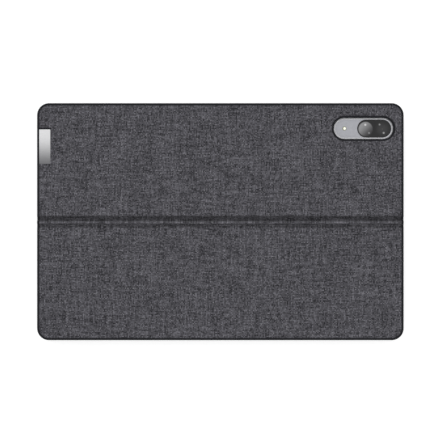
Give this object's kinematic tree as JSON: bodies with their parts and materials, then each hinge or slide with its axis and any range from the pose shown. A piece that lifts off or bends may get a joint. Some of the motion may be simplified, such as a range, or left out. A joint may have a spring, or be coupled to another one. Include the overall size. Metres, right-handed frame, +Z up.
{
  "type": "tablet keyboard case",
  "caption": "Flat fabric keyboard case closed round a tablet, with a camera window, a blank tag, a kickstand fold and a detachable keyboard.",
  "frame": {"origin": "middle of the case's footprint, on the surface it lies on, under the keyboard's fabric", "axes": "+X along the long side, towards the camera window's end; +Y towards the long edge that the camera window is near, away from the dock bar; +Z up, out of the back cover's fabric. The user sits at +Y."},
  "size_m": [0.266, 0.172, 0.0148],
  "materials": {
    "fabric": "dark grey melange woven fabric",
    "edge_trim": "black polyurethane edge binding",
    "plate": "glass-fibre board",
    "lining": "dark grey microfibre",
    "base_plate": "bare sheet",
    "hinge_steel": "pressed steel",
    "rod": "black",
    "magnet": "nickel plated",
    "tag_metal": "brushed, blank",
    "aluminium": "satin, fine blasted",
    "lens_glass": "polished black cover glass",
    "screen_glass": "polished black cover glass",
    "flash": "clear lens over a warm white lamp",
    "deck": "fine textured",
    "keycap": null,
    "touchpad": "smooth satin",
    "rubber": "silicone",
    "film": "printed circuit film",
    "board": "circuit board",
    "switch": "tact switch",
    "gold": "gold plated",
    "ribbon": "flexible printed circuit"
  },
  "bodies": {
    "keyboard": {"keyboard_fabric": "fabric", "keyboard_edge_trim": "edge_trim", "keyboard_base_plate": "base_plate", "switch_membrane": "film", "rubber_dome_sheet": "rubber", "key_deck": "deck", "controller_board": "board", "closure_magnet_left": "magnet", "closure_magnet_right": "magnet", "touchpad_switch": "switch"},
    "touchpad": {"touchpad": "touchpad"},
    "band": {"hinge_band": "fabric", "ribbon_cable": "ribbon"},
    "dock": {"dock_bar": "deck", "contact_housing": "edge_trim", "dock_magnet_left": "magnet", "dock_magnet_right": "magnet"},
    "contact_pins": {"contact_pin_1": "gold", "contact_pin_2": "gold", "contact_pin_3": "gold", "contact_pin_4": "gold"},
    "tablet": {"tablet_shell": "aluminium", "tablet_screen": "screen_glass", "camera_island": "aluminium", "camera_glass": "lens_glass", "flash_lens": "flash"},
    "back_cover": {"cover_fabric": "fabric", "cover_edge_trim": "edge_trim", "cover_plate": "plate", "cover_lining": "lining", "camera_window_bezel": "edge_trim", "blank_tag": "tag_metal", "upper_hinge_leaf_left": "hinge_steel", "upper_hinge_leaf_right": "hinge_steel", "cover_magnet_left": "magnet", "cover_magnet_right": "magnet", "hinge_rod": "rod"},
    "kickstand": {"kickstand_fabric": "fabric", "kickstand_edge_trim": "edge_trim", "kickstand_plate": "plate", "kickstand_lining": "lining", "lower_hinge_leaf_left": "hinge_steel", "lower_hinge_leaf_right": "hinge_steel", "kickstand_magnet": "magnet"},
    "function_keys": {"function_keys": "keycap"},
    "number_keys": {"number_keys": "keycap"},
    "backspace_key": {"backspace_key": "keycap"},
    "top_letter_keys": {"top_letter_keys": "keycap"},
    "home_letter_keys": {"home_letter_keys": "keycap"},
    "enter_key": {"enter_key": "keycap"},
    "left_shift_key": {"left_shift_key": "keycap"},
    "bottom_letter_keys": {"bottom_letter_keys": "keycap"},
    "right_shift_key": {"right_shift_key": "keycap"},
    "left_modifier_keys": {"left_modifier_keys": "keycap"},
    "space_bar": {"space_bar": "keycap"},
    "right_modifier_keys": {"right_modifier_keys": "keycap"},
    "arrow_left_key": {"arrow_left_key": "keycap"},
    "arrow_up_key": {"arrow_up_key": "keycap"},
    "arrow_down_key": {"arrow_down_key": "keycap"},
    "arrow_right_key": {"arrow_right_key": "keycap"}
  },
  "joints": [
    {"name": "band_hinge", "type": "hinge", "parent": "keyboard", "child": "band", "pos_m": [0, -0.08555, 0.0025], "axis": [1, 0, 0], "range_deg": [0, 90]},
    {"name": "dock_hinge", "type": "hinge", "parent": "band", "child": "dock", "pos_m": [0, -0.08555, 0.0106], "axis": [1, 0, 0], "range_deg": [0, 35]},
    {"name": "contact_pins_travel", "type": "slide", "parent": "dock", "child": "contact_pins", "axis": [0, 1, 0], "range_m": [-0.0006, 0], "stiffness_N_per_m": 300, "springref_m": 0.0006},
    {"name": "tablet_release", "type": "slide", "parent": "dock", "child": "tablet", "axis": [0, -1, 0], "range_m": [-0.012, 0]},
    {"name": "cover_release", "type": "slide", "parent": "tablet", "child": "back_cover", "axis": [0, 0, -1], "range_m": [-0.012, 0]},
    {"name": "kickstand_hinge", "type": "hinge", "parent": "back_cover", "child": "kickstand", "pos_m": [0, -0.0006, 0.0139], "axis": [-1, 0, 0], "range_deg": [0, 165]},
    {"name": "touchpad_click", "type": "hinge", "parent": "keyboard", "child": "touchpad", "pos_m": [0, 0.0213, 0.004], "axis": [1, 0, 0], "range_deg": [-0.6, 0], "stiffness_Nm_per_rad": 3, "springref_deg": 0.29},
    {"name": "function_keys_press", "type": "slide", "parent": "keyboard", "child": "function_keys", "axis": [0, 0, 1], "range_m": [-0.0012, 0], "stiffness_N_per_m": 200, "springref_m": 0.0005, "deforming": ["rubber_dome_sheet"]},
    {"name": "number_keys_press", "type": "slide", "parent": "keyboard", "child": "number_keys", "axis": [0, 0, 1], "range_m": [-0.0012, 0], "stiffness_N_per_m": 200, "springref_m": 0.0005, "deforming": ["rubber_dome_sheet"]},
    {"name": "backspace_key_press", "type": "slide", "parent": "keyboard", "child": "backspace_key", "axis": [0, 0, 1], "range_m": [-0.0012, 0], "stiffness_N_per_m": 200, "springref_m": 0.0005, "deforming": ["rubber_dome_sheet"]},
    {"name": "top_letter_keys_press", "type": "slide", "parent": "keyboard", "child": "top_letter_keys", "axis": [0, 0, 1], "range_m": [-0.0012, 0], "stiffness_N_per_m": 200, "springref_m": 0.0005, "deforming": ["rubber_dome_sheet"]},
    {"name": "home_letter_keys_press", "type": "slide", "parent": "keyboard", "child": "home_letter_keys", "axis": [0, 0, 1], "range_m": [-0.0012, 0], "stiffness_N_per_m": 200, "springref_m": 0.0005, "deforming": ["rubber_dome_sheet"]},
    {"name": "enter_key_press", "type": "slide", "parent": "keyboard", "child": "enter_key", "axis": [0, 0, 1], "range_m": [-0.0012, 0], "stiffness_N_per_m": 200, "springref_m": 0.0005, "deforming": ["rubber_dome_sheet"]},
    {"name": "left_shift_key_press", "type": "slide", "parent": "keyboard", "child": "left_shift_key", "axis": [0, 0, 1], "range_m": [-0.0012, 0], "stiffness_N_per_m": 200, "springref_m": 0.0005, "deforming": ["rubber_dome_sheet"]},
    {"name": "bottom_letter_keys_press", "type": "slide", "parent": "keyboard", "child": "bottom_letter_keys", "axis": [0, 0, 1], "range_m": [-0.0012, 0], "stiffness_N_per_m": 200, "springref_m": 0.0005, "deforming": ["rubber_dome_sheet"]},
    {"name": "right_shift_key_press", "type": "slide", "parent": "keyboard", "child": "right_shift_key", "axis": [0, 0, 1], "range_m": [-0.0012, 0], "stiffness_N_per_m": 200, "springref_m": 0.0005, "deforming": ["rubber_dome_sheet"]},
    {"name": "left_modifier_keys_press", "type": "slide", "parent": "keyboard", "child": "left_modifier_keys", "axis": [0, 0, 1], "range_m": [-0.0012, 0], "stiffness_N_per_m": 200, "springref_m": 0.0005, "deforming": ["rubber_dome_sheet"]},
    {"name": "space_bar_press", "type": "slide", "parent": "keyboard", "child": "space_bar", "axis": [0, 0, 1], "range_m": [-0.0012, 0], "stiffness_N_per_m": 200, "springref_m": 0.0005, "deforming": ["rubber_dome_sheet"]},
    {"name": "right_modifier_keys_press", "type": "slide", "parent": "keyboard", "child": "right_modifier_keys", "axis": [0, 0, 1], "range_m": [-0.0012, 0], "stiffness_N_per_m": 200, "springref_m": 0.0005, "deforming": ["rubber_dome_sheet"]},
    {"name": "arrow_left_key_press", "type": "slide", "parent": "keyboard", "child": "arrow_left_key", "axis": [0, 0, 1], "range_m": [-0.0012, 0], "stiffness_N_per_m": 200, "springref_m": 0.0005, "deforming": ["rubber_dome_sheet"]},
    {"name": "arrow_up_key_press", "type": "slide", "parent": "keyboard", "child": "arrow_up_key", "axis": [0, 0, 1], "range_m": [-0.0012, 0], "stiffness_N_per_m": 200, "springref_m": 0.0005, "deforming": ["rubber_dome_sheet"]},
    {"name": "arrow_down_key_press", "type": "slide", "parent": "keyboard", "child": "arrow_down_key", "axis": [0, 0, 1], "range_m": [-0.0012, 0], "stiffness_N_per_m": 200, "springref_m": 0.0005, "deforming": ["rubber_dome_sheet"]},
    {"name": "arrow_right_key_press", "type": "slide", "parent": "keyboard", "child": "arrow_right_key", "axis": [0, 0, 1], "range_m": [-0.0012, 0], "stiffness_N_per_m": 200, "springref_m": 0.0005, "deforming": ["rubber_dome_sheet"]}
  ]
}
